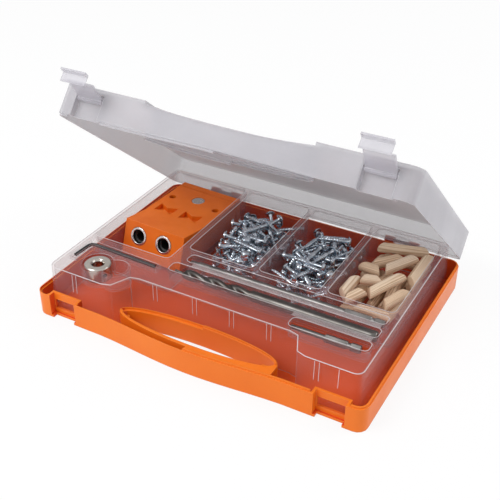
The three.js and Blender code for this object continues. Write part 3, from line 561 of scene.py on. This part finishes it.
def dropped(rng, middle, half, count, first):
    """Places of screws dropped one at a time into a pocket: each comes down at a chance place and heading to the
    lowest height at which balls along it clear the balls along the ones before, inside a mound's outline."""
    along = np.array([1.5, 6, 11, 16, 21, 26, 29.3])
    size = np.array([1.0, 1.7, 1.9, 1.9, 1.7, 1.6, 4.4])
    balls, sizes, made = np.zeros((0, 3)), np.zeros(0), []
    heights = np.arange(0, 44, 0.5)
    tries = 0
    while len(made) < count and tries < count * 60:
        tries += 1
        if len(made) < len(first):
            x, y, heading, tilt = first[len(made)]
        else:
            x, y = middle[0] + half[0] * rng.normal(0, 0.42), middle[1] + half[1] * rng.normal(0, 0.42)
            heading, tilt = rng.uniform(0, 2 * np.pi), rng.normal(0, 0.38)
        way = np.array([math.cos(heading) * math.cos(tilt), math.sin(heading) * math.cos(tilt), math.sin(tilt)])
        spots = np.array([x, y, 0]) + (along[:, None] - 15) * way
        if len(made) >= len(first) and (np.abs(spots[:, :2] - middle) > half).any():
            continue
        lift = POCKET_FLOOR + 0.6 - (spots[:, 2] - size).min()
        z = lift + heights
        if len(balls):
            gap = np.linalg.norm(spots[None, :, None] + z[:, None, None, None] * [0, 0, 1] - balls, axis=-1)
            free = (gap > BALL_GAP * (size[:, None] + sizes)).all((1, 2))
            if not free.any():
                continue
            z = z[free]
        away = (((x - middle[0]) / half[0]) ** 2 + ((y - middle[1]) / half[1]) ** 2)
        if len(made) >= len(first) and z[0] + (spots[:, 2] + size).max() > HEAP_TOP - HEAP_FALL * away:
            continue
        spots[:, 2] += z[0]
        balls, sizes = np.concatenate([balls, spots]), np.concatenate([sizes, size])
        made.append((spots[0] - 1.5 * way, way))
    return made


def build_screws():
    for side, middle, half, seed, first in (
            ("left", (-23.5, 39.0), (30.5, 54), 7, [(-44, 12, 2.2, -0.75), (-30, 14, -1.2, -0.6)]),
            ("right", (43.7, 39.0), (28, 53), 19, [])):
        rng = np.random.default_rng(seed)
        places = dropped(rng, np.array(middle), np.array(half), 84, first)
        grids = [screw_grid(tip, way, rng.uniform(0, 6.28)) for tip, way in places]
        finished(f"screws_{side}_loose", *together(grids), "case", "zinc_steel", ZINC, 50,
                 stands_for=(f"screws_{side}",))


# ---- wood plugs: middle x, y, z, heading and tilt in degrees, length ----
PLUG_RADIUS = 4.75
END_SLANT = 0.8
PLUGS = [(108, 85, 37, 16, 0, 47), (100, 66, 33, 40, 8, 30), (114, 57.5, 39.2, 62, 0, 38), (131.5, 61, 37, 89, 0, 48),
         (93.5, 45, 35.5, -10, 5, 22), (99.5, 28, 36, 24, -6, 19), (114.5, 23, 38.5, 68, 0, 44),
         (127.5, 12, 35.5, 70, 0, 32), (86, 12, 34, 88, 0, 32), (97, 1, 36, 35, 30, 20), (117, -9, 31, 4, 0, 34)]
LOW_PLUGS = [(89, 62, 24.5, 84, 0, 46), (103, 40, 24.5, 80, 0, 40), (118, 36, 25, 96, 0, 46),
             (129, 66, 24.5, 88, 0, 46),
             (110, 84, 24.5, 5, 0, 44), (90, 20, 24, 70, 0, 38), (104, 2, 20.5, 8, 0, 40), (128, 14, 24, 86, 0, 42),
             (92, 44, 14.2, 88, 0, 60), (104, 44, 14.2, 92, 0, 60), (116, 44, 14.2, 87, 0, 60),
             (128, 46, 14.2, 91, 0, 60)]


def plug_grid(place, rng):
    """A plug: a round bar whose ends are cut on a slant, so its length falls off evenly across it; faint flats
    and a small chamfer keep it from being a plain bar. Its own lengthways and crossways places are kept too."""
    x, y, z, heading, tilt, length = place
    angle = np.linspace(0, 2 * np.pi, 40, endpoint=False)
    flats = 1 - 0.012 * np.cos(9 * angle + rng.uniform(0, 6)) ** 2
    share = np.array([0, 0.5, 0.94, 1.0, 1.0, 1.0, 1.0, 1.0, 1.0, 1.0, 0.94, 0.5, 0])
    reach = np.array([-1, -1, -1, -0.985, -0.6, -0.3, 0, 0.3, 0.6, 0.985, 1, 1, 1.0])
    across = share[:, None] * PLUG_RADIUS * flats * np.cos(angle)
    over = share[:, None] * PLUG_RADIUS * flats * np.sin(angle)
    half = length / 2 - END_SLANT * (across + PLUG_RADIUS)
    own = np.stack([reach[:, None] * half, across, over], -1)
    h, t = math.radians(heading), math.radians(-tilt)
    lean = np.array([[math.cos(t), 0, math.sin(t)], [0, 1, 0], [-math.sin(t), 0, math.cos(t)]])
    turn = np.array([[math.cos(h), -math.sin(h), 0], [math.sin(h), math.cos(h), 0], [0, 0, 1]])
    return own @ lean.T @ turn.T + np.array([x, y, z]), own + rng.uniform(-40, 40, 3) * [1, 0.12, 0.12]


def build_plugs():
    rng = np.random.default_rng(5)
    for i, place in enumerate(PLUGS):
        grid, own = plug_grid(place, rng)
        finished(f"wood_plug_{i + 1:02d}", *together([grid]), "case", "plug_wood", PLUG_WOODS[i % 3], 40,
                 own.reshape(-1, 3), (f"plug_{i + 1:02d}",))
    pairs = [plug_grid(place, rng) for place in LOW_PLUGS]
    finished("wood_plugs_below", *together([p[0] for p in pairs]), "case", "plug_wood", PLUG_WOODS[1], 40,
             np.concatenate([p[1].reshape(-1, 3) for p in pairs]))


# ---- room, light and camera ----
def build_room():
    """A white floor that keeps the shadow, with a white glow added only for the eye and for reflections."""
    made, tree = blank("white_floor")
    spread = node(tree, "BsdfDiffuse", Color=(0.86, 0.86, 0.87, 1))
    glow = node(tree, "Emission", Color=(1, 1, 1, 1), Strength=1.0)
    light = node(tree, "LightPath").outputs
    seen = maths(tree, "ADD", maths(tree, "ADD", light["Is Camera Ray"], light["Is Glossy Ray"], True),
                 light["Is Transmission Ray"], True)
    blend = node(tree, "MixShader", _0=maths(tree, "MULTIPLY", seen, 0.87), _1=spread.outputs[0], _2=glow.outputs[0])
    surfaced(tree, blend)
    mesh = bpy.data.meshes.new("floor")
    mesh.from_pydata([(-6, -6, -0.0002), (6, -6, -0.0002), (6, 6, -0.0002), (-6, 6, -0.0002)], [], [(0, 1, 2, 3)])
    mesh.materials.append(made)
    floor = bpy.data.objects.new("floor", mesh)
    bpy.context.scene.collection.objects.link(floor)

    world = bpy.data.worlds.new("studio")
    bpy.context.scene.world = world
    world.use_nodes = True
    tree = world.node_tree
    tree.nodes.clear()
    high = node(tree, "SeparateXYZ", Vector=node(tree, "TexCoord").outputs["Generated"]).outputs["Z"]
    dome = node(tree, "MapRange", Value=high, From_Min=-0.1, From_Max=0.9, To_Min=0.30, To_Max=0.85).outputs[0]
    soft = node(tree, "Background", Color=(1, 1, 1, 1), Strength=dome)
    white = node(tree, "Background", Color=(1, 1, 1, 1), Strength=1.0)
    sight = node(tree, "LightPath").outputs["Is Camera Ray"]
    blend = node(tree, "MixShader", _0=sight, _1=soft.outputs[0], _2=white.outputs[0])
    tree.links.new(blend.outputs[0], node(tree, "OutputWorld").inputs["Surface"])


def lamp(name, place, size, power):
    data = bpy.data.lights.new(name, "AREA")
    data.shape, data.size, data.size_y, data.energy = "RECTANGLE", size[0], size[1], power
    made = bpy.data.objects.new(name, data)
    made.location = place
    made.rotation_euler = made.location.to_track_quat("Z", "Y").to_euler()
    bpy.context.scene.collection.objects.link(made)


def build_camera():
    """The camera looks down at the case's front right corner; its axes are its right, up and backward directions."""
    azimuth, elevation, roll = (math.radians(v) for v in (29.01, 33.09, 0.26))
    back = np.array([math.sin(azimuth) * math.cos(elevation), -math.cos(azimuth) * math.cos(elevation),
                     math.sin(elevation)])
    right = np.array([math.cos(azimuth), math.sin(azimuth), 0.0])
    up = np.cross(back, right)
    c, s = math.cos(roll), math.sin(roll)
    axes = np.array([c * right + s * up, -s * right + c * up, back]).T
    data = bpy.data.cameras.new("camera")
    data.lens, data.sensor_width = 62.885, 36.0
    data.clip_start, data.clip_end = 0.05, 20.0
    made = bpy.data.objects.new("camera", data)
    place = np.array([-0.00375, 0.00032, 0.04925]) + 0.7655 * back
    made.matrix_world = Matrix([[*axes[i], place[i]] for i in range(3)] + [[0, 0, 0, 1]])
    bpy.context.scene.collection.objects.link(made)
    bpy.context.scene.camera = made


build_camera()
build_case()
build_tray()
build_jig()
build_collar()
build_drill()
build_bits()
refined("hex_key", BLACK_OXIDE, "black_steel", 35)
build_screws()
build_plugs()
build_room()
lamp("key", (-0.7, -0.9, 1.3), (1.0, 0.8), 14.0)
lamp("rim", (1.1, 0.5, 1.0), (0.8, 0.5), 6.0)
scene = bpy.context.scene
scene.view_settings.view_transform = "Standard"
scene.cycles.transparent_max_bounces = 40
